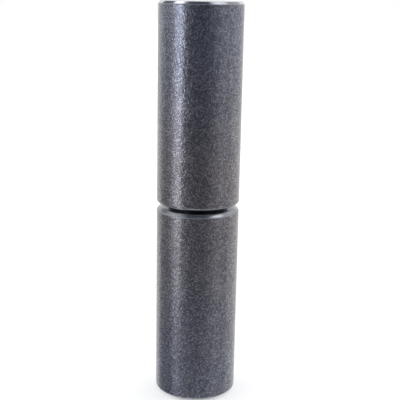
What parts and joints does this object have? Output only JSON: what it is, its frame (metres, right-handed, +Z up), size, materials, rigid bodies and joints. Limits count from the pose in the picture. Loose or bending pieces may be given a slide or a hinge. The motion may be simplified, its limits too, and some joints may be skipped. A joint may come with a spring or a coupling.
{
  "type": "weld on barrel hinge",
  "caption": "Round steel lift-off hinge for welding on: plain barrels end to end on a fixed pin, with a thrust washer in the gap.",
  "frame": {"origin": "centre of the lower barrel's lower end face, which the hinge stands on", "axes": "+Z up along the hinge axis, from the lower barrel to the upper one; every piece is round about it, so +X and +Y are free and +Y simply points away from the picture's camera"},
  "size_m": [0.025, 0.025, 0.12],
  "materials": {
    "barrel_steel": "turned, tumbled and oiled, dark grey with fine random nicks",
    "pin_steel": "ground bright and greased",
    "washer_steel": "blackened spring steel"
  },
  "bodies": {
    "lower": {"lower_barrel": "barrel_steel", "hinge_pin": "pin_steel"},
    "washer": {"thrust_washer": "washer_steel"},
    "upper": {"upper_barrel": "barrel_steel"}
  },
  "joints": [
    {"name": "hinge_turn", "type": "hinge", "parent": "lower", "child": "washer", "pos_m": [0, 0, 0.0594], "axis": [0, 0, 1], "continuous": true},
    {"name": "lift_off", "type": "slide", "parent": "washer", "child": "upper", "axis": [0, 0, 1], "range_m": [0, 0.04]}
  ]
}
